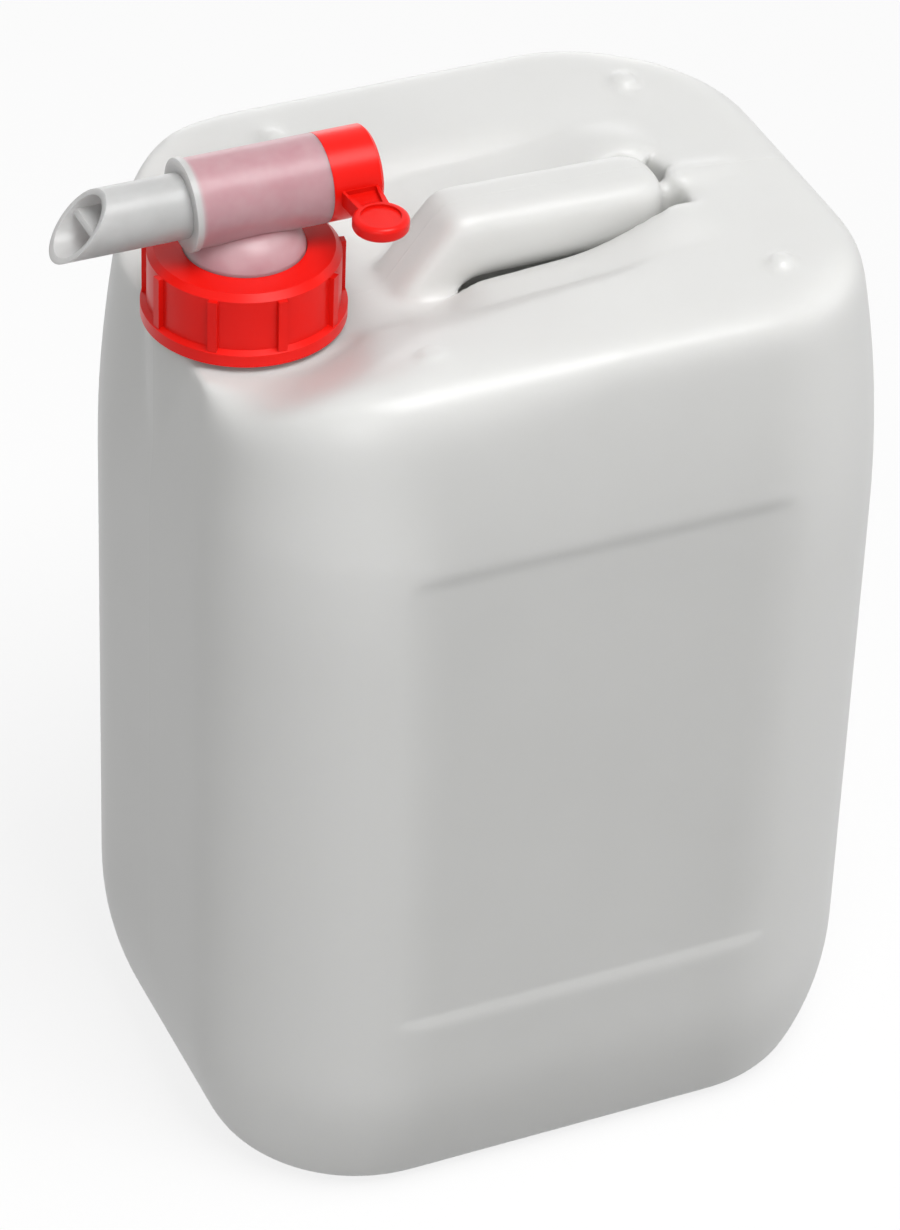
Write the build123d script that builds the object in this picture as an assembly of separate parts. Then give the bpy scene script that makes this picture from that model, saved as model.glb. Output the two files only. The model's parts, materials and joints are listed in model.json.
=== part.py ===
"""Ten litre jerrycan with a screwed-on dispensing tap.

Millimetres, +Z up. The origin is the middle of the base. X runs along the can and its handle,
with the neck and the spout at the -X end; Y runs across the can.
"""

import os
from math import atan2, cos, radians, sin, tan

from build123d import *

# --- can: overall form ---
LENGTH = 230.0  # along X, at the widest level
WIDTH = 190.0  # along Y, at the widest level
TOP_Z = 315.0  # level of the stacking plateau
CORNER_RADIUS = 60.0  # vertical corners, seen from above
EDGE_RADIUS = 9.0  # where the shoulder turns into the plateau, and the foot into the base
WALL = 1.6
SHOULDER_INSET = 17.5  # how far the top curves in from the walls
SHOULDER_HEIGHT = 95.0
FOOT_INSET = 17.5  # how far the bottom curves in from the walls
FOOT_HEIGHT = 51.0

# --- can: panels and stacking nubs ---
PANEL_LOW_Z = 74.0  # the wide sides have a shallow flat between these levels
PANEL_HIGH_Z = 252.5
PANEL_LOW_DEPTH = 1.0  # of its lower end
PANEL_HIGH_DEPTH = 2.0  # of its upper end, where the shoulder already leans in
PANEL_BEVEL = 3.0  # height of its bevelled ends
NUB_RADIUS = 5.0
NUB_CROWN_RADIUS = 3.0
NUB_HEIGHT = 1.8
NUB_FRONT_X = -48.0
NUB_FRONT_Y = 63.0  # from the middle plane, to each side
NUB_REAR_X = 72.0
NUB_REAR_Y = 57.0

# --- can: hand recess, handle and ridge ---
VALLEY_FLOOR_Z = 296.5
VALLEY_END_X = 14.0  # centre of its round rear end
VALLEY_FOOT_RADIUS = 13.0  # where its sides start to rise
VALLEY_SIDE_RUN = 31.0  # width of its sloping sides
VALLEY_RIM_RUN = 6.0  # width of the gentler slope along its rim
VALLEY_RIM_ANGLE = 8.0
VALLEY_FOOT_BLEND = 30.0
VALLEY_RIM_BLEND = 22.0
VALLEY_SPREAD = 6.4  # degrees that its sides open out towards the neck
SEAT_FOOT_BLEND = 7.0  # the same for the seat round the neck
SEAT_SPREAD = 28.0
GRIP_FLOOR_Z = 274.0
GRIP_FRONT_X = -22.0
GRIP_REAR_X = 63.5
GRIP_HALF_WIDTH = 23.5  # at the plateau
GRIP_CORNER_RADIUS = 18.0
GRIP_DRAFT = 7.0  # degrees
GRIP_CHAMFER = 6.0
BAR_WIDTH = 26.0
BAR_TOP_Z = 323.0
BAR_BOTTOM_Z = 299.0
BAR_FRONT_X = -17.0  # where the top of the bar begins
BAR_FOOT_X = -38.0  # where its sloping front meets the recess
BAR_REAR_X = 56.0
BAR_END_RADIUS = 10.0  # of its rear end, seen from above
BAR_EDGE_RADIUS = 7.0
BAR_CORNER_RADIUS = 9.0  # of its side outline
BAR_FALL = 1.5  # the top of the bar drops by this towards its rear end
PINCH_THICKNESS = 6.0
PINCH_TOP_Z = 312.0
RIDGE_START_X = 62.0
RIDGE_WIDTH = 15.0
RIDGE_NOSE = 2.0  # its rounded front end stands this far into the recess
RIDGE_RISE = 2.4
RIDGE_FALL = 4.0  # degrees, down towards the rear

# --- neck and its thread ---
NECK_X = -83.5
NECK_RADIUS = 24.0
NECK_BORE_RADIUS = 20.5
NECK_PLATFORM_Z = 297.5
NECK_PLATFORM_RADIUS = 30.0
THREAD_PITCH = 4.0
THREAD_DEPTH = 1.8
THREAD_TURNS = 2.0
THREAD_ROOT_WIDTH = 2.0
THREAD_CREST_WIDTH = 0.8
THREAD_CLEARANCE = 0.5  # between crests and roots
THREAD_PLAY = 0.3  # between the loaded flanks
NECK_THREAD_Z = 304.0  # middle of the ridge where it starts

# --- screw cap ---
CAP_LOW_Z = 299.0
CAP_HEIGHT = 24.0
CAP_RADIUS = 30.0
CAP_BAND_RADIUS = 32.0
CAP_BAND_HEIGHT = 4.0
CAP_GROUND_GAP = 3.0  # from the band to where the can rises round it
CAP_HOLE_RADIUS = 19.25
CAP_TOP_THICKNESS = 2.6
CAP_CHAMFER = 2.0
CAP_RIBS = 9
CAP_RIB_WIDTH = 3.0
CAP_RIB_RISE = 1.6
CAP_RIB_PHASE = -9.7  # degrees

# --- tap ---
FLANGE_RADIUS = 24.0
SEAL_RADIUS = 23.6
FLANGE_THICKNESS = 2.4
SEAL_THICKNESS = 2.0
TAP_NECK_CLEARANCE = 0.3
TAP_NECK_BORE_RADIUS = 14.0
TAP_DOME_WALL = 2.5
BARREL_Z = 341.4
BARREL_RADIUS = 14.0
BARREL_WALL = 2.0
BARREL_RIM = 0.6  # raised bead round its front end
BARREL_FRONT_X = -104.2
BARREL_REAR_X = -59.8
PORT_RADIUS = 7.0
SPOUT_RADIUS = 10.2
SPOUT_WALL = 1.7
SPOUT_TOP_X = -129.0
SPOUT_TIP_X = -146.0
WEB_THICKNESS = 1.4
WEB_RECESS = 2.3

# --- valve plug ---
PLUG_FIT = 0.05  # radial running fit in the barrel
PLUG_WALL = 2.0
PLUG_RING_LENGTH = 16.5
PLUG_END_GAP = 0.1
PLUG_CHAMFER = 1.0
LEVER_REACH = 30.0  # from the axis to the middle of the disc
LEVER_WIDTH = 9.0
LEVER_THICKNESS = 5.0
LEVER_RIB_WIDTH = 2.2  # raised edges along both sides of the arm
LEVER_RIB_RISE = 1.5
LEVER_DISC_RADIUS = 8.8
LEVER_DISH_RADIUS = 6.3
LEVER_DISH_DEPTH = 0.8

# --- values worked out from the ones above ---
CAP_TOP_Z = CAP_LOW_Z + CAP_HEIGHT
FLANGE_TOP_Z = CAP_TOP_Z - CAP_TOP_THICKNESS
SEAL_TOP_Z = FLANGE_TOP_Z - FLANGE_THICKNESS
NECK_TOP_Z = SEAL_TOP_Z - SEAL_THICKNESS
THREAD_RADIUS = NECK_RADIUS + THREAD_DEPTH
CAP_BORE_RADIUS = THREAD_RADIUS + THREAD_CLEARANCE
TAP_NECK_RADIUS = CAP_HOLE_RADIUS - TAP_NECK_CLEARANCE
BARREL_BORE_RADIUS = BARREL_RADIUS - BARREL_WALL
PLUG_RADIUS = BARREL_BORE_RADIUS - PLUG_FIT
TALL = 2 * TOP_Z  # reaches past every top face


def rim_points(radius, start_z, inset, height, edge_radius):
    """Points on two tangent arcs from an upright wall in to a level face, up or down by a height."""
    rise = abs(height)
    up = height / rise
    flank = (inset**2 + rise**2 - 2 * rise * edge_radius) / (2 * (inset - edge_radius))
    turn = atan2(rise - edge_radius, flank - inset)
    points = [(radius, start_z)]
    for angle in (turn / 2, turn):
        points.append((radius - flank * (1 - cos(angle)), start_z + up * flank * sin(angle)))
    edge_z = start_z + height - up * edge_radius
    middle = (turn + radians(90)) / 2
    points.append((radius - inset + edge_radius * cos(middle), edge_z + up * edge_radius * sin(middle)))
    points.append((radius - inset, start_z + height))
    return points


def wall_profile(skin):
    """Half the can's upright section, from corner axis to wall; the inner one has straight chords."""
    radius = CORNER_RADIUS - skin
    shoulder = rim_points(
        radius, TOP_Z - SHOULDER_HEIGHT, SHOULDER_INSET, SHOULDER_HEIGHT - skin, EDGE_RADIUS - skin)
    foot = rim_points(radius, FOOT_HEIGHT, FOOT_INSET, skin - FOOT_HEIGHT, EDGE_RADIUS - skin)
    if skin:
        return make_face(Polyline((0, skin), *reversed(foot), *shoulder, (0, TOP_Z - skin), close=True))
    lines = [Line(foot[0], shoulder[0]), Polyline(shoulder[-1], (0, TOP_Z), (0, 0), foot[-1])]
    for bend in (shoulder, foot):
        lines += [ThreePointArc(*bend[:3]), ThreePointArc(*bend[2:])]
    return make_face([edge for line in lines for edge in line.edges()])


def body_form(skin):
    """The closed can without its top features, drawn in by a skin thickness all round."""
    profile = Plane.XZ * wall_profile(skin)
    quarter = revolve(profile, Axis.Z, 90)
    half_x = LENGTH / 2 - CORNER_RADIUS
    half_y = WIDTH / 2 - CORNER_RADIUS
    form = Pos(0, 0, TOP_Z / 2) * Box(2 * half_x, 2 * half_y, TOP_Z - 2 * skin)
    corners = [(half_x, half_y), (-half_x, half_y), (-half_x, -half_y), (half_x, -half_y)]
    for turn, (x, y) in enumerate(corners):
        side = extrude(profile, 2 * (half_x if turn % 2 else half_y))
        form += Pos(x, y, 0) * Rot(0, 0, 90 * turn) * quarter
        form += Pos(x, y, 0) * Rot(0, 0, 90 * turn) * side
    return form


def dish(end_x, foot_radius, foot_blend, spread, skin):
    """Cutter for a shallow dish with a round rear end, whose sloping sides open out towards -X."""
    floor = VALLEY_FLOOR_Z - skin
    rim_rise = VALLEY_RIM_RUN * tan(radians(VALLEY_RIM_ANGLE))
    side_rise = TOP_Z - VALLEY_FLOOR_Z - rim_rise
    shift = skin * tan(atan2(side_rise, VALLEY_SIDE_RUN) / 2)
    foot = (foot_radius + shift, floor)
    rim = (foot[0] + VALLEY_SIDE_RUN, floor + side_rise)
    out = (rim[0] + LENGTH, rim[1] + LENGTH * tan(radians(VALLEY_RIM_ANGLE)))
    section = make_face(Polyline((0, floor), foot, rim, out, (0, out[1]), close=True))
    bends = section.vertices().sort_by(lambda v: abs(v.X - foot[0]) + abs(v.Y - foot[1]))[0:1]
    section = fillet(bends, foot_blend)
    bends = section.vertices().sort_by(lambda v: abs(v.X - rim[0]) + abs(v.Y - rim[1]))[0:1]
    section = Plane.XZ * fillet(bends, VALLEY_RIM_BLEND)
    half_turn = 90 - spread
    form = Rot(0, 0, -half_turn) * revolve(section, Axis.Z, 2 * half_turn)
    side = Rot(0, 0, half_turn) * extrude(section, -LENGTH)
    form += side + mirror(side, Plane.XZ)
    reach = LENGTH * cos(radians(spread))
    spread_y = LENGTH * sin(radians(spread))
    wedge = make_face(Polyline((0, 0), (-reach, spread_y), (-reach, -spread_y), close=True))
    form += extrude(Pos(0, 0, floor) * wedge, out[1] - floor)
    return Pos(end_x, 0, 0) * form


def hand_valley(skin):
    """Broad valley along the top, from the neck's end to the rear ridge, and the seat round the neck."""
    valley = dish(VALLEY_END_X, VALLEY_FOOT_RADIUS, VALLEY_FOOT_BLEND, VALLEY_SPREAD, skin)
    return valley, dish(NECK_X, CAP_BAND_RADIUS + CAP_GROUND_GAP, SEAT_FOOT_BLEND, SEAT_SPREAD, skin)


def finger_well(skin):
    """Deeper well below the handle bar, where the fingers go."""
    low = GRIP_FLOOR_Z - skin
    sections = []
    for z in (low, TOP_Z + WALL):
        inset = (TOP_Z - z) * tan(radians(GRIP_DRAFT)) - skin
        plan = RectangleRounded(
            GRIP_REAR_X - GRIP_FRONT_X - 2 * inset, 2 * (GRIP_HALF_WIDTH - inset),
            GRIP_CORNER_RADIUS - inset)
        sections.append(Pos((GRIP_REAR_X + GRIP_FRONT_X) / 2, 0, z) * plan)
    well = loft(sections, ruled=True)
    return chamfer(well.edges().group_by(Axis.Z)[0], GRIP_CHAMFER)


def side_flats(skin):
    """Cutters for the shallow flats on the two wide sides."""
    wall = WIDTH / 2 - skin
    low = (wall - PANEL_LOW_DEPTH, PANEL_LOW_Z + PANEL_BEVEL)
    high = (wall - PANEL_HIGH_DEPTH, PANEL_HIGH_Z - PANEL_BEVEL / 2)
    profile = Polyline(
        (wall, PANEL_LOW_Z), low, high,
        (wall, PANEL_HIGH_Z + PANEL_BEVEL / 2), (WIDTH, PANEL_HIGH_Z + PANEL_BEVEL / 2),
        (WIDTH, PANEL_LOW_Z), close=True)
    one_side = extrude(Plane.YZ * make_face(profile), LENGTH / 2, both=True)
    return one_side + mirror(one_side, Plane.XZ)


def upright(radius, low_z, high_z):
    """Vertical cylinder on the neck's axis."""
    return Pos(NECK_X, 0, (low_z + high_z) / 2) * Cylinder(radius, high_z - low_z)


def handle_bar(skin):
    """Carrying bar over the finger well, with its sloping front leg and rounded rear end."""
    buried = GRIP_FLOOR_Z + GRIP_CHAMFER
    side = Polyline(
        (BAR_FOOT_X, buried),
        (BAR_FOOT_X, VALLEY_FLOOR_Z),
        (BAR_FRONT_X, BAR_TOP_Z),
        (BAR_REAR_X, BAR_TOP_Z - BAR_FALL),
        (BAR_REAR_X, BAR_BOTTOM_Z),
        (BAR_FRONT_X, BAR_BOTTOM_Z),
        (BAR_FRONT_X, buried),
        close=True,
    )
    outline = make_face(side)
    rounded = [v for v in outline.vertices() if v.X < BAR_REAR_X - 1 and v.Y > VALLEY_FLOOR_Z + 1]
    outline = fillet(rounded, BAR_CORNER_RADIUS)
    length = BAR_REAR_X - BAR_FOOT_X + 2 * BAR_END_RADIUS
    plan = Pos(BAR_REAR_X - length / 2, 0) * RectangleRounded(length, BAR_WIDTH, BAR_END_RADIUS)
    if skin:
        outline = offset(outline, -skin)
        plan = offset(plan, -skin)
    bar = extrude(Plane.XZ * outline, BAR_WIDTH, both=True) & extrude(plan, TALL)
    return fillet(bar.edges(), BAR_EDGE_RADIUS - skin)


def can_form(skin):
    """The can's outer surface, or its inner one when drawn in by the wall."""
    form = body_form(skin)
    for cutter in (*hand_valley(skin), finger_well(skin), side_flats(skin)):
        form -= cutter
    form += upright(NECK_PLATFORM_RADIUS - skin, TOP_Z - SHOULDER_HEIGHT, NECK_PLATFORM_Z - skin)
    form += handle_bar(skin)
    return form


def pinched_web():
    """Solid web, pinched flat, that joins the rear end of the bar to the ridge."""
    start = BAR_REAR_X - BAR_WIDTH / 4
    length = RIDGE_START_X + RIDGE_WIDTH / 2 - start
    height = PINCH_TOP_Z - GRIP_FLOOR_Z
    web = Box(length, PINCH_THICKNESS, height, align=(Align.MIN, Align.CENTER, Align.MIN))
    return Pos(start, 0, GRIP_FLOOR_Z) * web


def rear_ridge():
    """Low rounded ridge behind the bar, which starts as a rounded nose and fades into the shoulder."""
    length = LENGTH / 2 - SHOULDER_INSET - RIDGE_START_X
    plan = Pos(RIDGE_START_X - RIDGE_NOSE + length / 2, 0) * SlotOverall(length, RIDGE_WIDTH)
    crown_radius = (RIDGE_WIDTH**2 / 4 + RIDGE_RISE**2) / (2 * RIDGE_RISE)
    crown = Rot(0, 90, 0) * Cylinder(crown_radius, 4 * length)
    crown = Pos(RIDGE_START_X, 0, TOP_Z + RIDGE_RISE - crown_radius) * Rot(0, RIDGE_FALL, 0) * crown
    column = Pos(0, 0, VALLEY_FLOOR_Z) * extrude(plan, TOP_Z)
    return column & crown


def stacking_nub(x, y):
    """Low stud with sloping sides that keeps a stacked can from sliding."""
    root = WALL / 2
    return Pos(x, y, TOP_Z + (NUB_HEIGHT - root) / 2) * Cone(NUB_RADIUS, NUB_CROWN_RADIUS, NUB_HEIGHT + root)


def thread_ridge(root_radius, depth, start_z, turns):
    """Helical ridge on the neck's axis; a negative depth points it inwards."""
    path = Helix(THREAD_PITCH, THREAD_PITCH * turns, root_radius, center=(NECK_X, 0, start_z))
    sunk = 0.3 if depth > 0 else -0.3  # overlap with the wall that carries it
    root = THREAD_ROOT_WIDTH / 2
    crest = THREAD_CREST_WIDTH / 2
    section = Polyline((-sunk, -root), (0, -root), (depth, -crest), (depth, crest), (0, root), (-sunk, root),
                       close=True)
    start = Plane(origin=path @ 0, x_dir=(1, 0, 0), z_dir=path % 0)
    return sweep(start * make_face(section), path=path, is_frenet=True)


def make_can():
    """Blow-moulded can: walls, handle, ridge, nubs and threaded neck in one piece."""
    can = can_form(0) + rear_ridge() + pinched_web()
    for x, y in ((NUB_FRONT_X, NUB_FRONT_Y), (NUB_REAR_X, NUB_REAR_Y)):
        can += stacking_nub(x, y)
        can += stacking_nub(x, -y)
    can += upright(NECK_RADIUS, NECK_PLATFORM_Z - 3, NECK_TOP_Z)
    can -= can_form(WALL)
    can -= upright(NECK_BORE_RADIUS, NECK_PLATFORM_Z - 8, NECK_TOP_Z + 1)
    can += thread_ridge(NECK_RADIUS, THREAD_DEPTH, NECK_THREAD_Z, THREAD_TURNS)
    return can


def make_neck_seal():
    """Flat ring between the neck's rim and the tap's flange."""
    seal = upright(SEAL_RADIUS, NECK_TOP_Z, SEAL_TOP_Z)
    return seal - upright(NECK_BORE_RADIUS - 2, NECK_TOP_Z - 1, SEAL_TOP_Z + 1)


def make_screw_cap():
    """Union nut: ribbed skirt with a band at its foot, thread inside, hole for the tap's neck."""
    band_top = CAP_LOW_Z + CAP_BAND_HEIGHT
    profile = Polyline(
        (CAP_BAND_RADIUS, CAP_LOW_Z),
        (CAP_BAND_RADIUS, band_top),
        (CAP_RADIUS, band_top + 1),
        (CAP_RADIUS, CAP_TOP_Z - CAP_CHAMFER),
        (CAP_RADIUS - CAP_CHAMFER, CAP_TOP_Z),
        (CAP_HOLE_RADIUS, CAP_TOP_Z),
        (CAP_HOLE_RADIUS, FLANGE_TOP_Z),
        (CAP_BORE_RADIUS, FLANGE_TOP_Z),
        (CAP_BORE_RADIUS, CAP_LOW_Z),
        close=True,
    )
    cap = Pos(NECK_X, 0, 0) * revolve(Plane.XZ * make_face(profile), Axis.Z)
    rib_height = CAP_HEIGHT - CAP_CHAMFER - CAP_BAND_HEIGHT / 2
    rib = Box(CAP_RIB_RISE + 1, CAP_RIB_WIDTH, rib_height, align=(Align.MAX, Align.CENTER, Align.MIN))
    rib = Pos(CAP_RADIUS + CAP_RIB_RISE, 0, CAP_LOW_Z + CAP_BAND_HEIGHT / 2) * rib
    for turn in range(CAP_RIBS):
        cap += Pos(NECK_X, 0, 0) * Rot(0, 0, CAP_RIB_PHASE + turn * 360 / CAP_RIBS) * rib
    flank_step = (THREAD_ROOT_WIDTH + THREAD_CREST_WIDTH) / 2 + THREAD_PLAY
    return cap + thread_ridge(CAP_BORE_RADIUS, -THREAD_DEPTH, NECK_THREAD_Z - flank_step, THREAD_TURNS)


def lying(radius, low_x, high_x):
    """Cylinder along X on the barrel's axis."""
    return Pos((low_x + high_x) / 2, 0, BARREL_Z) * Rot(0, 90, 0) * Cylinder(radius, high_x - low_x)


def spout_cut(shift):
    """Cutter beyond the spout's slanted end, moved back towards the barrel by a shift."""
    run = SPOUT_TOP_X - SPOUT_TIP_X
    top = (SPOUT_TOP_X + run + shift, BARREL_Z + 3 * SPOUT_RADIUS)
    tip = (SPOUT_TIP_X - run + shift, BARREL_Z - 3 * SPOUT_RADIUS)
    far_x = SPOUT_TIP_X - 3 * run
    outline = Polyline(top, tip, (far_x, tip[1]), (far_x, top[1]), close=True)
    return extrude(Plane.XZ * make_face(outline), 2 * SPOUT_RADIUS, both=True)


def make_tap_body():
    """Flange, neck, barrel and slant-cut spout with its dividing web, moulded in one piece."""
    dome_low = CAP_TOP_Z + 0.8
    dome_high = BARREL_Z - BARREL_RADIUS * 0.6
    dome_top_radius = TAP_NECK_RADIUS / 2
    dome_mid = (TAP_NECK_RADIUS * 0.87, (dome_low + dome_high) / 2)
    outline = [
        Polyline((0, SEAL_TOP_Z), (FLANGE_RADIUS, SEAL_TOP_Z), (FLANGE_RADIUS, FLANGE_TOP_Z),
                 (TAP_NECK_RADIUS, FLANGE_TOP_Z), (TAP_NECK_RADIUS, dome_low)),
        ThreePointArc((TAP_NECK_RADIUS, dome_low), dome_mid, (dome_top_radius, dome_high)),
        Polyline((dome_top_radius, dome_high), (0, dome_high), (0, SEAL_TOP_Z)),
    ]
    edges = [edge for line in outline for edge in line.edges()]
    tap = Pos(NECK_X, 0, 0) * revolve(Plane.XZ * make_face(edges), Axis.Z)
    tap += lying(BARREL_RADIUS, BARREL_FRONT_X, BARREL_REAR_X)
    tap += lying(BARREL_RADIUS + BARREL_RIM, BARREL_FRONT_X, BARREL_FRONT_X + BARREL_WALL)
    tap += lying(SPOUT_RADIUS, SPOUT_TIP_X, BARREL_FRONT_X) - spout_cut(0)
    tap -= lying(SPOUT_RADIUS - SPOUT_WALL, SPOUT_TIP_X - 1, BARREL_REAR_X)
    tap -= lying(BARREL_BORE_RADIUS, BARREL_FRONT_X + BARREL_WALL, BARREL_REAR_X + 1)
    web_length = BARREL_FRONT_X - SPOUT_TIP_X
    web = Box(web_length, 2 * SPOUT_RADIUS - SPOUT_WALL, WEB_THICKNESS,
              align=(Align.MAX, Align.CENTER, Align.CENTER))
    tap += Pos(BARREL_FRONT_X, 0, BARREL_Z) * web - spout_cut(WEB_RECESS)
    bore_top = BARREL_Z - BARREL_RADIUS - TAP_DOME_WALL
    tap -= upright(TAP_NECK_BORE_RADIUS, SEAL_TOP_Z - 1, bore_top)
    tap -= upright(PORT_RADIUS, bore_top - 1, BARREL_Z - BARREL_BORE_RADIUS / 2)
    return tap


def lever_form(root_half_width):
    """Lever towards -Y: a tapered arm with raised edges, and a round disc with a shallow dish at its tip."""
    def arm(inset, root_y):
        half_tip = LEVER_WIDTH / 2 - inset
        half_root = root_half_width - inset
        return make_face(Polyline(
            (-half_root, root_y), (half_root, root_y), (half_tip, -LEVER_REACH), (-half_tip, -LEVER_REACH),
            close=True))

    top = LEVER_THICKNESS / 2
    lever = Pos(0, 0, -top) * extrude(arm(0, 0), LEVER_THICKNESS)
    lever -= Pos(0, 0, top - LEVER_RIB_RISE) * extrude(arm(LEVER_RIB_WIDTH, -BARREL_RADIUS), LEVER_THICKNESS)
    disc = Cylinder(LEVER_DISC_RADIUS, LEVER_THICKNESS)
    disc = fillet(disc.edges().filter_by(GeomType.CIRCLE), LEVER_THICKNESS / 3)
    lever += Pos(0, -LEVER_REACH, 0) * disc
    dish_height = 2 * LEVER_DISH_DEPTH
    return lever - Pos(0, -LEVER_REACH, top) * Cylinder(LEVER_DISH_RADIUS, dish_height)


def make_valve_plug():
    """Hollow plug with a side window, a closed ring end and a lever with a disc at its tip."""
    core_front_x = BARREL_FRONT_X + BARREL_WALL + PLUG_END_GAP
    ring_front_x = BARREL_REAR_X + PLUG_END_GAP
    ring_rear_x = ring_front_x + PLUG_RING_LENGTH
    ring = lying(BARREL_RADIUS, ring_front_x, ring_rear_x)
    ring = chamfer(ring.edges().group_by(Axis.X)[-1], PLUG_CHAMFER)
    plug = ring + lying(PLUG_RADIUS, core_front_x, ring_front_x)
    lever_x = (ring_front_x + ring_rear_x) / 2
    plug += Pos(lever_x, 0, BARREL_Z) * lever_form(PLUG_RING_LENGTH / 2 - PLUG_CHAMFER)
    plug -= lying(PLUG_RADIUS - PLUG_WALL, core_front_x - 1, ring_rear_x - PLUG_WALL)
    window = Pos(NECK_X, 0, BARREL_Z) * Rot(-90, 0, 0) * Cylinder(
        PORT_RADIUS, BARREL_RADIUS, align=(Align.CENTER, Align.CENTER, Align.MIN))
    return plug - window


def main():
    os.makedirs("parts", exist_ok=True)
    nodes = {
        "can": make_can,
        "neck_seal": make_neck_seal,
        "screw_cap": make_screw_cap,
        "tap_body": make_tap_body,
        "valve_plug": make_valve_plug,
    }
    for name, make in nodes.items():
        export_step(make(), f"parts/{name}.step")


if __name__ == "__main__":
    main()
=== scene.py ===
"""Studio picture of a ten litre jerrycan with a screwed-on dispensing tap."""

import json
import math

import bpy
from mathutils import Matrix, Vector

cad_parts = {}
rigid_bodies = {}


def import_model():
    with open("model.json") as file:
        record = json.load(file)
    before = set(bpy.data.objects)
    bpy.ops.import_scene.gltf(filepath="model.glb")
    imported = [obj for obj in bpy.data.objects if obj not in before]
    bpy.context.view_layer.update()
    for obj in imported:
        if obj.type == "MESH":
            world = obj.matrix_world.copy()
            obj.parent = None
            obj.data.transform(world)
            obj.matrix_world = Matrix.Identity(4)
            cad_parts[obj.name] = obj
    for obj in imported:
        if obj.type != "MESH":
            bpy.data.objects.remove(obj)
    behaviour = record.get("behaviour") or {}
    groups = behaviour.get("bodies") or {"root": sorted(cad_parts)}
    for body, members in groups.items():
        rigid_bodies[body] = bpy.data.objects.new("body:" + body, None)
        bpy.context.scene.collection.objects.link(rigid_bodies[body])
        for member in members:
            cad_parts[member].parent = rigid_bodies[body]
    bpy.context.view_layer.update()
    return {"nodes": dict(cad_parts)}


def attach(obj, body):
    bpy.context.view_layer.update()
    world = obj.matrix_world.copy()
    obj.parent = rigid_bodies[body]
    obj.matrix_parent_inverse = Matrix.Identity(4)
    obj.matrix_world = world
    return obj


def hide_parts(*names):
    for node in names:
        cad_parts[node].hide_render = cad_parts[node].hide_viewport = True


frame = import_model()

# --- camera, metres and degrees ---
AZIMUTH = 25.3  # the camera stands to the left of the wide side, looking along +Y and a little +X
ELEVATION = 36.9
ROLL = 2.5
DISTANCE = 1.74
TARGET = Vector((0, 0, 0.15))
AIM_RIGHT = -0.0082  # the can sits a little right of and below the middle of the picture
AIM_UP = 0.0073
SENSOR = 36.0
LENS = 154.2  # millimetres, for a sensor that is 36 mm high

# --- lights ---
WORLD_STRENGTH = 0.32
FLOOR_SIZE = 30
FLOOR_GLOW = 0.8  # share of the floor's white that its shadow doesn't dim
SOFTBOXES = (  # name, place in metres, size in metres, power in watts
    ("key", (0.25, -0.75, 2.2), 1.1, 30.0),
    ("fill", (-1.25, -1.8, 1.0), 1.2, 9.5),
    ("rim", (1.9, -0.3, 0.9), 1.2, 2.5),
    ("back", (0.8, 2.2, 0.35), 1.2, 6.0),
)

# --- the neck, where the can's skin is parted from its thread, metres ---
NECK_X = -0.0835
NECK_REACH = 0.0265  # past the thread's crests
NECK_ROOT_Z = 0.2893

NECK_SHARP = 35  # degrees past which the thread's edges stay sharp

# --- the can's skin, metres ---
BASE_TOP = 0.0005  # faces wholly below this are the outside of the base
MERGE_REACH = 1e-6  # closer corners become one
SKIN_VOXEL = 0.002
SMOOTH_FACTOR = 0.5
SKIN_PASSES = 6
EDGE_PASSES = 60
CORNER_PASSES = 300
FAR_CORNER_SHARE = 0.05  # the corner on the +Y side is crisper
SHOULDER_FILL = 0.0055  # how much fuller the far wide side's shoulder is blown at the top
SHOULDER_LIFT = 0.001
LIP_REACH = 0.0065  # how far the hand recess leans in under the bar, along its two sides
LIP_RISE = 0.003
DIP_RISE = 0.012  # how much shallower the recess gets behind the bar
FLAT_EDGES = (0.074, 0.2525)  # levels where the wide sides' flats begin and end
NUBS = ((-0.048, 0.063), (0.072, 0.057))  # X, and Y to each side
NUB_RISE = 0.0008  # what they lose in the making of the skin, and get back
NUBS_ABOVE = 0.3
FLATS_BEYOND = 0.07  # the flats lie farther out than this, along Y
DIP_ABOVE = 0.27

# --- where each shaping of the skin fades, from none of it to all of it, metres ---
SHOULDER_ASIDE = (0.052, 0.076)
SHOULDER_REAR = (0.1, 0.045)
SHOULDER_FRONT = (-0.115, -0.07)
SHOULDER_LEVELS = (0.245, 0.31)
NUB_SPARED = (0.006, 0.012)  # from a nub's middle
NUB_CROWN = (0.0055, 0.003)
NUB_CLEAR = (0.006, 0.014)
FLAT_EDGE_SPARED = (0.005, 0.011)
LIP_FRONT = (-0.026, -0.014)
LIP_REAR = (0.066, 0.056)
LIP_INNER = (0.0145, 0.018)
LIP_OUTER = (0.038, 0.025)
LIP_LEVELS = (0.277, 0.292)
DIP_FRONT = (0.046, 0.058)
DIP_REAR = (0.075, 0.068)
DIP_ASIDE = (0.032, 0.027)
DIP_LEVELS = (0.3, 0.274)
EDGE_ASIDE = (0.062, 0.072)
EDGE_REAR = (0.082, 0.092)
EDGE_LEVELS = (0.27, 0.295)
SEAT_OUTWARDS = (0.033, 0.045)  # from the neck's middle
SEAT_ASIDE = (0.03, 0.045)
SEAT_REAR = (0.005, -0.045)
SEAT_LEVELS = (0.257, 0.28)

# --- where colours change, metres ---
# where the upright corners get their painted highlight
CORNER_HIGHLIGHT_SPAN = (0.0046, 0.0076)  # X times Y, so square metres
PARTING_HALF_WIDTH = 0.0007
TINT_FACE = (-0.1032, -0.1005)  # along X, behind the barrel's open face
TINT_BARREL = (0.3255, 0.3345)  # level at which the plug lies behind the wall
# levels over which the red nut's light is painted onto the foot of the dome
CAP_LIGHT_LEVELS = (0.3225, 0.347)  # level up to which the nut shines through


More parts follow.
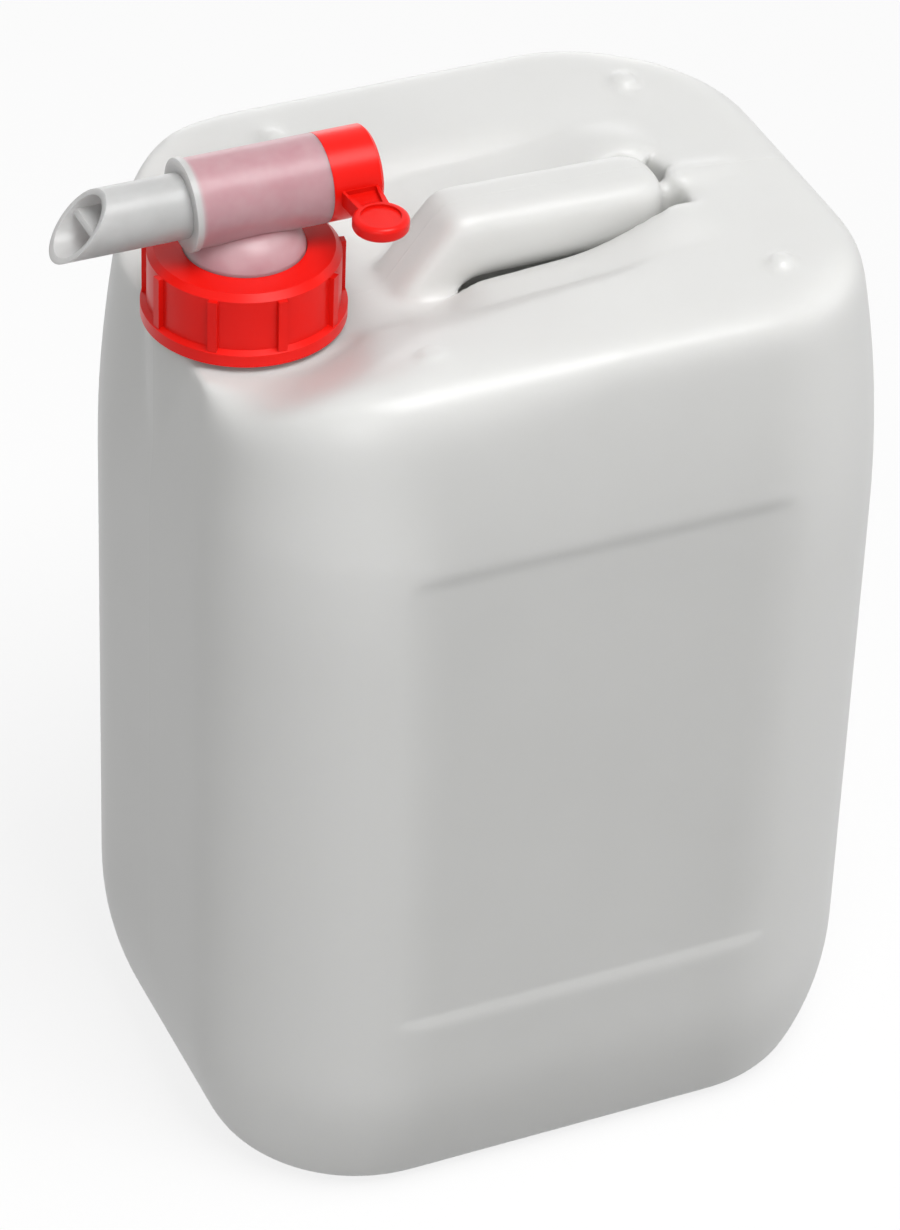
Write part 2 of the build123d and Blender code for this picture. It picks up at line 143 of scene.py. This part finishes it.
def linear(hex_colour):
    """An sRGB hex colour as linear RGBA."""
    channels = []
    for place in (0, 2, 4):
        value = int(hex_colour[place:place + 2], 16) / 255
        channels.append(value / 12.92 if value <= 0.04045 else ((value + 0.055) / 1.055) ** 2.4)
    return (*channels, 1.0)


def add_node(tree, kind, settings=None, order=(), **named):
    """A node with its settings; inputs in order or by name, as numbers, colours or other sockets."""
    node = tree.nodes.new(kind)
    for name, value in (settings or {}).items():
        setattr(node, name, value)
    inputs = list(zip(node.inputs, order))
    inputs += [(node.inputs[name.replace("_", " ")], value) for name, value in named.items()]
    for socket, value in inputs:
        if isinstance(value, bpy.types.NodeSocket):
            tree.links.new(value, socket)
        else:
            socket.default_value = value
    return node


def new_material(name):
    """An empty node material and its tree."""
    material = bpy.data.materials.new(name)
    material.use_nodes = True
    material.node_tree.nodes.clear()
    return material, material.node_tree


def finish_material(tree, shader):
    """Links the last shader to the surface."""
    add_node(tree, "ShaderNodeOutputMaterial", Surface=shader.outputs[0])


def natural_polyethylene():
    """Natural HDPE, blow-moulded: milky and even, light comes back soft, with a low waxy sheen."""
    material, tree = new_material("natural_hdpe_blow_moulded")
    place = add_node(tree, "ShaderNodeTexCoord").outputs["Object"]
    # the wall is a little thinner and greyer in places, in clouds some 60 mm wide
    cloud = add_node(tree, "ShaderNodeTexNoise", Vector=place, Scale=16.0, Detail=2.0, Roughness=0.45)
    tone = add_node(tree, "ShaderNodeMix", {"data_type": "RGBA"}, Factor=cloud.outputs["Fac"],
                    A=linear("DEDEDC"), B=linear("E6E6E4"))
    # painted highlight: the upright corners are painted a lighter white, standing in for the light they
    # catch
    axes = add_node(tree, "ShaderNodeSeparateXYZ", Vector=place)
    product = add_node(tree, "ShaderNodeMath", {"operation": "MULTIPLY"},
                       order=(axes.outputs["X"], axes.outputs["Y"]))
    diagonal = add_node(tree, "ShaderNodeMath", {"operation": "ABSOLUTE"}, order=(product.outputs[0],))
    corner_highlight = add_node(tree, "ShaderNodeMapRange", {"interpolation_type": "SMOOTHSTEP"},
                    Value=diagonal.outputs[0], From_Min=CORNER_HIGHLIGHT_SPAN[0], From_Max=CORNER_HIGHLIGHT_SPAN[1])
    skin = add_node(tree, "ShaderNodeMix", {"data_type": "RGBA"}, Factor=corner_highlight.outputs[0],
                    A=tone.outputs["Result"], B=linear("F3F3F1"))
    # fine orange peel of the blown skin, drawn 1 mm wide so that it shows
    grain = add_node(tree, "ShaderNodeTexNoise", Vector=place, Scale=900.0, Detail=1.0)
    # the mould's parting line, a hair's height along the middle plane
    away = add_node(tree, "ShaderNodeMath", {"operation": "ABSOLUTE"}, order=(axes.outputs["Y"],))
    line = add_node(tree, "ShaderNodeMapRange", {"interpolation_type": "SMOOTHSTEP"},
                    Value=away.outputs[0], From_Min=0.0, From_Max=PARTING_HALF_WIDTH,
                    To_Min=1.0, To_Max=0.0)
    # the peel stands an eighth as high as the parting line
    height = add_node(tree, "ShaderNodeMath", {"operation": "MULTIPLY_ADD"},
                      order=(grain.outputs["Fac"], 0.12, line.outputs[0]))
    bump = add_node(tree, "ShaderNodeBump", Strength=0.25, Distance=0.0003, Height=height.outputs[0])
    shader = add_node(
        tree, "ShaderNodeBsdfPrincipled",
        Base_Color=skin.outputs["Result"], Roughness=0.36, IOR=1.54,
        Subsurface_Weight=0.45, Subsurface_Radius=(0.005, 0.005, 0.0048), Subsurface_Scale=1.0,
        Normal=bump.outputs["Normal"],
    )
    finish_material(tree, shader)
    return material


def red_polypropylene(name, rough):
    """Injection-moulded red PP: strong even colour, satin gloss."""
    material, tree = new_material(name)
    coords = add_node(tree, "ShaderNodeTexCoord").outputs["Object"]
    cloud = add_node(tree, "ShaderNodeTexNoise", Vector=coords, Scale=60.0, Detail=2.0)
    tone = add_node(tree, "ShaderNodeMix", {"data_type": "RGBA"}, Factor=cloud.outputs["Fac"],
                    A=linear("F61208"), B=linear("FF180E"))
    # it throws less red on the white skin beside it than it shows
    rays = add_node(tree, "ShaderNodeLightPath")
    thrown = add_node(tree, "ShaderNodeMix", {"data_type": "RGBA"}, Factor=rays.outputs["Is Diffuse Ray"],
                      A=tone.outputs["Result"], B=linear("9A4A46"))
    shader = add_node(
        tree, "ShaderNodeBsdfPrincipled",
        Base_Color=thrown.outputs["Result"], Roughness=rough, IOR=1.49, Specular_IOR_Level=0.25,
        Subsurface_Weight=0.12, Subsurface_Radius=(0.006, 0.001, 0.001), Subsurface_Scale=0.5,
    )
    finish_material(tree, shader)
    return material


def tap_polyethylene():
    """Natural LDPE, injection-moulded: its wall is slight enough for the red plug to tint the barrel pink.
    """
    material, tree = new_material("natural_ldpe_tap_moulding")
    place = add_node(tree, "ShaderNodeTexCoord").outputs["Object"]
    # clouds some 8 mm wide, where the plug's wall lies nearer or further off
    cloud = add_node(tree, "ShaderNodeTexNoise", Vector=place, Scale=110.0, Detail=2.0, Roughness=0.6)
    milk = add_node(tree, "ShaderNodeMix", {"data_type": "RGBA"}, Factor=cloud.outputs["Fac"],
                    A=linear("C8C7C6"), B=linear("D6D5D4"))
    blush = add_node(tree, "ShaderNodeMix", {"data_type": "RGBA"}, Factor=cloud.outputs["Fac"],
                     A=linear("C88C95"), B=linear("D6ABB1"))
    axes = add_node(tree, "ShaderNodeSeparateXYZ", Vector=place)
    behind_face = add_node(tree, "ShaderNodeMapRange", {"interpolation_type": "SMOOTHSTEP"},
                           Value=axes.outputs["X"], From_Min=TINT_FACE[0], From_Max=TINT_FACE[1])
    above_neck = add_node(tree, "ShaderNodeMapRange", {"interpolation_type": "SMOOTHSTEP"},
                          Value=axes.outputs["Z"], From_Min=TINT_BARREL[0], From_Max=TINT_BARREL[1])
    over_plug = add_node(tree, "ShaderNodeMath", {"operation": "MULTIPLY"},
                         order=(behind_face.outputs[0], above_neck.outputs[0]))
    # painted light: a pink tint on the foot of the dome stands in for the red cap's light shining up
    # through it
    cap_light_fade = add_node(tree, "ShaderNodeMapRange", {"interpolation_type": "SMOOTHSTEP"},
                        Value=axes.outputs["Z"], From_Min=CAP_LIGHT_LEVELS[0], From_Max=CAP_LIGHT_LEVELS[1],
                        To_Min=1.0, To_Max=0.0)
    painted_cap_light = add_node(tree, "ShaderNodeMath", {"operation": "MULTIPLY"},
                        order=(behind_face.outputs[0], cap_light_fade.outputs[0]))
    # the plug seen through the wall, and the painted light from the cap
    plug_tint_and_cap_light = add_node(tree, "ShaderNodeMath", {"operation": "MAXIMUM"},
                      order=(over_plug.outputs[0], painted_cap_light.outputs[0]))
    tone = add_node(tree, "ShaderNodeMix", {"data_type": "RGBA"}, Factor=plug_tint_and_cap_light.outputs[0],
                    A=milk.outputs["Result"], B=blush.outputs["Result"])
    shader = add_node(
        tree, "ShaderNodeBsdfPrincipled",
        Base_Color=tone.outputs["Result"], Roughness=0.36, IOR=1.51,
        Subsurface_Weight=0.8, Subsurface_Radius=(0.008, 0.0075, 0.0075), Subsurface_Scale=1.0,
    )
    finish_material(tree, shader)
    return material


def seal_rubber():
    """Black EPDM ring: matt, slightly bloomed."""
    material, tree = new_material("epdm_rubber_ring")
    coords = add_node(tree, "ShaderNodeTexCoord").outputs["Object"]
    bloom = add_node(tree, "ShaderNodeTexNoise", Vector=coords, Scale=200.0)
    tone = add_node(tree, "ShaderNodeMix", {"data_type": "RGBA"}, Factor=bloom.outputs["Fac"],
                    A=linear("1E1E1F"), B=linear("2A2A2A"))
    shader = add_node(tree, "ShaderNodeBsdfPrincipled", Base_Color=tone.outputs["Result"], Roughness=0.8)
    finish_material(tree, shader)
    return material


def give(piece, material):
    """Sets the only material of a piece."""
    piece.data.materials.clear()
    piece.data.materials.append(material)


def take_alone(piece):
    """Makes one piece the only selected and active object."""
    bpy.ops.object.select_all(action="DESELECT")
    piece.select_set(True)
    bpy.context.view_layer.objects.active = piece


def copy_node(node, name):
    """A new piece with a node's mesh, its loose triangles merged, open in edit mode."""
    piece = bpy.data.objects.new(name, frame["nodes"][node].data.copy())
    bpy.context.scene.collection.objects.link(piece)
    take_alone(piece)
    bpy.ops.object.mode_set(mode="EDIT")
    bpy.context.tool_settings.mesh_select_mode = (False, False, True)
    bpy.ops.mesh.select_all(action="SELECT")
    bpy.ops.mesh.remove_doubles(threshold=MERGE_REACH)
    return piece


def select_faces(piece, wanted):
    """Selects the faces whose corners are all wanted."""
    bpy.ops.mesh.select_all(action="DESELECT")
    bpy.ops.object.mode_set(mode="OBJECT")
    corners = piece.data.vertices
    for face in piece.data.polygons:
        face.select = all(wanted(corners[corner].co) for corner in face.vertices)
    bpy.ops.object.mode_set(mode="EDIT")


def on_neck(place):
    """Whether a place belongs to the threaded neck."""
    return place.z > NECK_ROOT_Z and math.hypot(place.x - NECK_X, place.y) < NECK_REACH


def finish_piece(piece, material, body, node, sharp=None):
    """Leaves edit mode, shades smooth, sets material and body, and hides the node that the piece stands
    for.
    """
    bpy.ops.object.mode_set(mode="OBJECT")
    if sharp is None:
        bpy.ops.object.shade_smooth()
    else:
        bpy.ops.object.shade_smooth_by_angle(angle=math.radians(sharp))
    give(piece, material)
    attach(piece, body)
    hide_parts(node)


def shape_by(piece, kind, wanted, settings):
    """Applies a modifier as far as a weight for each place of the piece asks."""
    group = piece.vertex_groups.new(name="share")
    for corner in piece.data.vertices:
        weight = wanted(corner.co)
        if weight > 0:
            group.add([corner.index], weight, "REPLACE")
    modifier = piece.modifiers.new("shape", kind)
    modifier.vertex_group = group.name
    for name, value in settings.items():
        setattr(modifier, name, value)
    bpy.ops.object.modifier_apply(modifier=modifier.name)
    piece.vertex_groups.clear()


def soften(piece, wanted, passes):
    """Smooths a piece where a weight asks for it."""
    shape_by(piece, "SMOOTH", wanted, {"factor": SMOOTH_FACTOR, "iterations": passes})


def push(piece, wanted, axis, reach):
    """Moves a piece's surface along an axis where a weight asks for it."""
    shape_by(piece, "DISPLACE", wanted, {"direction": axis, "mid_level": 0, "strength": reach})


def ramp(value, span):
    """0 at the span's start, 1 at its end, even in between."""
    start, end = span
    return min(1, max(0, (value - start) / (end - start)))


def from_nub(place):
    """How far a place is from the middle of the nearest nub."""
    return min(math.hypot(place.x - x, abs(place.y) - y) for x, y in NUBS)


def full_shoulder(place):
    """How far a place belongs to the upper shoulder of the far wide side, 0 to 1, with soft ends."""
    share = min(ramp(place.y, SHOULDER_ASIDE), ramp(place.x, SHOULDER_REAR), ramp(place.x, SHOULDER_FRONT))
    height = ramp(place.z, SHOULDER_LEVELS)
    return share * share * (3 - 2 * share) * height * height * (3 - 2 * height)


def plain_skin(place):
    """How much a place of the skin may relax, so that the nubs and the flats' edges stay, 0 to 1."""
    off_nub = ramp(from_nub(place), NUB_SPARED) if place.z > NUBS_ABOVE else 1
    near_edge = min(abs(place.z - level) for level in FLAT_EDGES) if abs(place.y) > FLATS_BEYOND else 1
    return min(off_nub, ramp(near_edge, FLAT_EDGE_SPARED))


def recess_lip(place):
    """How far a place belongs to the lip of the hand recess along the bar, 0 to 1."""
    across = abs(place.y)
    along = min(ramp(place.x, LIP_FRONT), ramp(place.x, LIP_REAR))
    return along * min(ramp(across, LIP_INNER), ramp(across, LIP_OUTER)) * ramp(place.z, LIP_LEVELS)


def nub(place):
    """How far a place belongs to a nub's crown, 0 to 1."""
    return ramp(from_nub(place), NUB_CROWN) if place.z > NUBS_ABOVE else 0


def rear_dip(place):
    """How far a place belongs to the floor of the hand recess behind the bar, 0 to 1."""
    inside = min(ramp(place.x, DIP_FRONT), ramp(place.x, DIP_REAR), ramp(abs(place.y), DIP_ASIDE))
    return inside * ramp(place.z, DIP_LEVELS) if place.z > DIP_ABOVE else 0


def shoulder_edge(place):
    """How far a place belongs to the rolled edge between the top and the shoulder, 0 to 1."""
    outside = max(ramp(abs(place.y), EDGE_ASIDE), ramp(place.x, EDGE_REAR))
    return min(outside, ramp(place.z, EDGE_LEVELS), ramp(from_nub(place), NUB_CLEAR))


def seat_corner(place):
    """How far a place belongs to the corners beside the neck, where the seat rolls over, 0 to 1."""
    outwards = ramp(math.hypot(place.x - NECK_X, place.y), SEAT_OUTWARDS)
    aside = ramp(abs(place.y), SEAT_ASIDE)
    side = 1 if place.y < 0 else FAR_CORNER_SHARE
    return side * outwards * aside * ramp(place.x, SEAT_REAR) * ramp(place.z, SEAT_LEVELS)


def make_skin(material):
    """The can's blown skin: the outside of its wall, closed under the neck, every edge softly rounded."""
    skin = copy_node("can", "can_skin")
    select_faces(skin, on_neck)
    bpy.ops.mesh.delete(type="FACE")
    select_faces(skin, lambda place: place.z < BASE_TOP)
    bpy.ops.mesh.select_linked()
    bpy.ops.mesh.select_all(action="INVERT")
    bpy.ops.mesh.delete(type="FACE")
    bpy.ops.mesh.select_all(action="SELECT")
    bpy.ops.mesh.fill_holes(sides=0)
    bpy.ops.object.mode_set(mode="OBJECT")
    remesh = skin.modifiers.new("blown", "REMESH")
    remesh.mode = "VOXEL"
    remesh.voxel_size = SKIN_VOXEL
    bpy.ops.object.modifier_apply(modifier=remesh.name)
    soften(skin, plain_skin, SKIN_PASSES)
    soften(skin, shoulder_edge, EDGE_PASSES)
    soften(skin, seat_corner, CORNER_PASSES)
    for side in (-1, 1):
        push(skin, lambda place: recess_lip(place) if place.y * side > 0 else 0, "Y", -side * LIP_REACH)
    push(skin, full_shoulder, "Y", SHOULDER_FILL)
    push(skin, full_shoulder, "Z", SHOULDER_LIFT)
    push(skin, recess_lip, "Z", LIP_RISE)
    push(skin, nub, "Z", NUB_RISE)
    push(skin, rear_dip, "Z", DIP_RISE)
    soften(skin, recess_lip, SKIN_PASSES)
    finish_piece(skin, material, "can", "can")


def make_neck(material):
    """The can's threaded neck, as its own piece on the skin."""
    neck = copy_node("can", "can_neck")
    select_faces(neck, on_neck)
    bpy.ops.mesh.select_all(action="INVERT")
    bpy.ops.mesh.delete(type="FACE")
    finish_piece(neck, material, "can", "can", sharp=NECK_SHARP)


def seen_rays(tree):
    """1 for rays from the camera and for those that a gloss or a clear body sends on, else 0."""
    rays = add_node(tree, "ShaderNodeLightPath")
    glossy = add_node(tree, "ShaderNodeMath", {"operation": "MAXIMUM"},
                      order=(rays.outputs["Is Camera Ray"], rays.outputs["Is Glossy Ray"]))
    seen = add_node(tree, "ShaderNodeMath", {"operation": "MAXIMUM"},
                    order=(glossy.outputs[0], rays.outputs["Is Transmission Ray"]))
    return seen.outputs[0]


def add_floor():
    """Matt white paper sweep, which keeps a soft shadow under the can."""
    bpy.ops.mesh.primitive_plane_add(size=FLOOR_SIZE, location=(0, 0, 0))
    floor = bpy.context.object
    floor.name = "floor"
    material, tree = new_material("matt_white_paper")
    seen = seen_rays(tree)
    # it looks white, but sends less light back up at the can than white paper would
    tone = add_node(tree, "ShaderNodeMix", {"data_type": "RGBA"}, Factor=seen,
                    A=linear("A4A4A4"), B=linear("FFFFFF"))
    paper = add_node(tree, "ShaderNodeBsdfDiffuse", Color=tone.outputs["Result"], Roughness=0.5)
    glow = add_node(tree, "ShaderNodeEmission", Color=linear("FFFFFF"), Strength=1.0)
    share = add_node(tree, "ShaderNodeMath", {"operation": "MULTIPLY"}, order=(seen, FLOOR_GLOW))
    mix = add_node(tree, "ShaderNodeMixShader", order=(share.outputs[0], paper.outputs[0], glow.outputs[0]))
    finish_material(tree, mix)
    floor.data.materials.append(material)


def add_world():
    """Even white studio: a plain level of light, and plain white where it is seen."""
    world = bpy.data.worlds.new("studio")
    bpy.context.scene.world = world
    world.use_nodes = True
    tree = world.node_tree
    tree.nodes.clear()
    lighting = add_node(tree, "ShaderNodeBackground", Color=(1, 1, 1, 1), Strength=WORLD_STRENGTH)
    backdrop = add_node(tree, "ShaderNodeBackground", Color=(1, 1, 1, 1), Strength=1.0)
    mix = add_node(tree, "ShaderNodeMixShader",
                   order=(seen_rays(tree), lighting.outputs[0], backdrop.outputs[0]))
    add_node(tree, "ShaderNodeOutputWorld", Surface=mix.outputs[0])


def add_softbox(name, place, size, power):
    """Square area lamp that looks at the middle of the can."""
    data = bpy.data.lights.new(name, "AREA")
    data.size = size
    data.energy = power
    lamp = bpy.data.objects.new(name, data)
    bpy.context.scene.collection.objects.link(lamp)
    lamp.location = place
    lamp.rotation_euler = (TARGET - Vector(place)).to_track_quat("-Z", "Y").to_euler()


def add_camera():
    """The camera, leaning a little and aimed just off the middle of the can."""
    azimuth = math.radians(AZIMUTH)
    elevation = math.radians(ELEVATION)
    roll = math.radians(ROLL)
    ahead = Vector((math.sin(azimuth) * math.cos(elevation), math.cos(azimuth) * math.cos(elevation),
                    -math.sin(elevation)))
    level_right = Vector((math.cos(azimuth), -math.sin(azimuth), 0))
    level_up = level_right.cross(ahead)
    right = level_right * math.cos(roll) + level_up * math.sin(roll)
    up = level_up * math.cos(roll) - level_right * math.sin(roll)
    place = TARGET - ahead * DISTANCE
    ahead = (TARGET + right * AIM_RIGHT + up * AIM_UP - place).normalized()
    right = (right - ahead * right.dot(ahead)).normalized()
    up = right.cross(ahead)
    data = bpy.data.cameras.new("camera")
    data.sensor_fit = "VERTICAL"
    data.sensor_height = SENSOR
    data.lens = LENS
    camera = bpy.data.objects.new("camera", data)
    bpy.context.scene.collection.objects.link(camera)
    turn = Matrix((right, up, -ahead)).transposed().to_4x4()
    camera.matrix_world = Matrix.Translation(place) @ turn
    bpy.context.scene.camera = camera


hdpe = natural_polyethylene()
make_skin(hdpe)
make_neck(hdpe)
give(frame["nodes"]["neck_seal"], seal_rubber())
give(frame["nodes"]["screw_cap"], red_polypropylene("red_pp_union_nut", 0.34))
give(frame["nodes"]["valve_plug"], red_polypropylene("red_pp_valve_plug", 0.3))
give(frame["nodes"]["tap_body"], tap_polyethylene())
add_floor()
add_world()
for softbox in SOFTBOXES:
    add_softbox(*softbox)
add_camera()
bpy.context.scene.view_settings.view_transform = "Standard"
